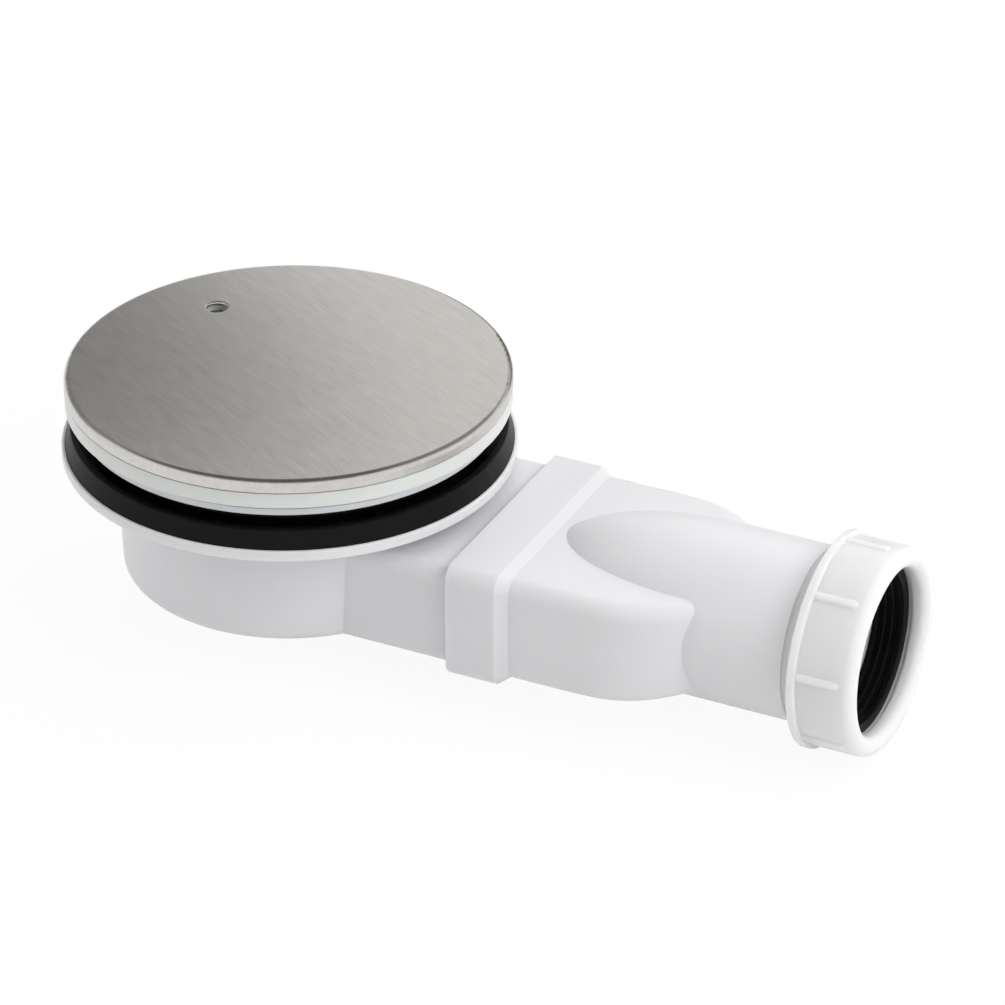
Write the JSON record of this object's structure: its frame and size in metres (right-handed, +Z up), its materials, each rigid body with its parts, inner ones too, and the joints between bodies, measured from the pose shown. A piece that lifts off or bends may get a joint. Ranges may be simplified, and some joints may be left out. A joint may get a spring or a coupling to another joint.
{
  "type": "shower trap",
  "caption": "Low-profile shower trap with a round brushed-steel cover, ribbed tray gasket, shallow bowl, flat duct and a compression nut on its round side outlet.",
  "frame": {"origin": "centre of the body flange's upper face, on the axis of the tray hole", "axes": "+X towards the outlet, +Z up out of the tray, +Y to the right of someone who looks along the outlet from its mouth"},
  "size_m": [0.2299, 0.1184, 0.0687],
  "materials": {
    "brushed_steel": "straight-brushed stainless sheet",
    "carrier_plastic": "satin off-white moulding",
    "flange_plastic": "satin white moulding",
    "body_plastic": "satin cool white polypropylene",
    "tube_plastic": "satin white moulding",
    "washer_plastic": "smooth slip washer",
    "nut_plastic": "satin white polypropylene",
    "black_rubber": "satin moulded rubber"
  },
  "bodies": {
    "trap": {"trap_body": "body_plastic", "tray_gasket": "black_rubber", "outlet_duct": "body_plastic", "outlet_seal": "black_rubber"},
    "seal_ring": {"flange_seal": "black_rubber"},
    "clamp": {"clamp_flange": "flange_plastic", "dip_tube": "tube_plastic", "dip_tube_ring": "black_rubber", "cover_insert": "carrier_plastic", "cover_cap": "brushed_steel"},
    "washer": {"slip_washer": "washer_plastic"},
    "nut": {"outlet_nut": "nut_plastic"}
  },
  "joints": [
    {"name": "clamp_rise", "type": "slide", "parent": "trap", "child": "seal_ring", "axis": [0, 0, 1], "range_m": [-0.0016, 0.0061]},
    {"name": "clamp_turn", "type": "hinge", "parent": "seal_ring", "child": "clamp", "pos_m": [0, 0, 0], "axis": [0, 0, 1], "range_deg": [-180, 720]},
    {"name": "nut_travel", "type": "slide", "parent": "trap", "child": "washer", "axis": [1, 0, 0], "range_m": [0, 0.007]},
    {"name": "nut_turn", "type": "hinge", "parent": "washer", "child": "nut", "pos_m": [0.16, 0, -0.0201], "axis": [1, 0, 0], "range_deg": [0, 1080]}
  ],
  "couplings": [
    {"joint": "clamp_rise", "follows": "clamp_turn", "m_per_rad": 0.00047746},
    {"joint": "nut_travel", "follows": "nut_turn", "m_per_rad": 0.00036765}
  ]
}
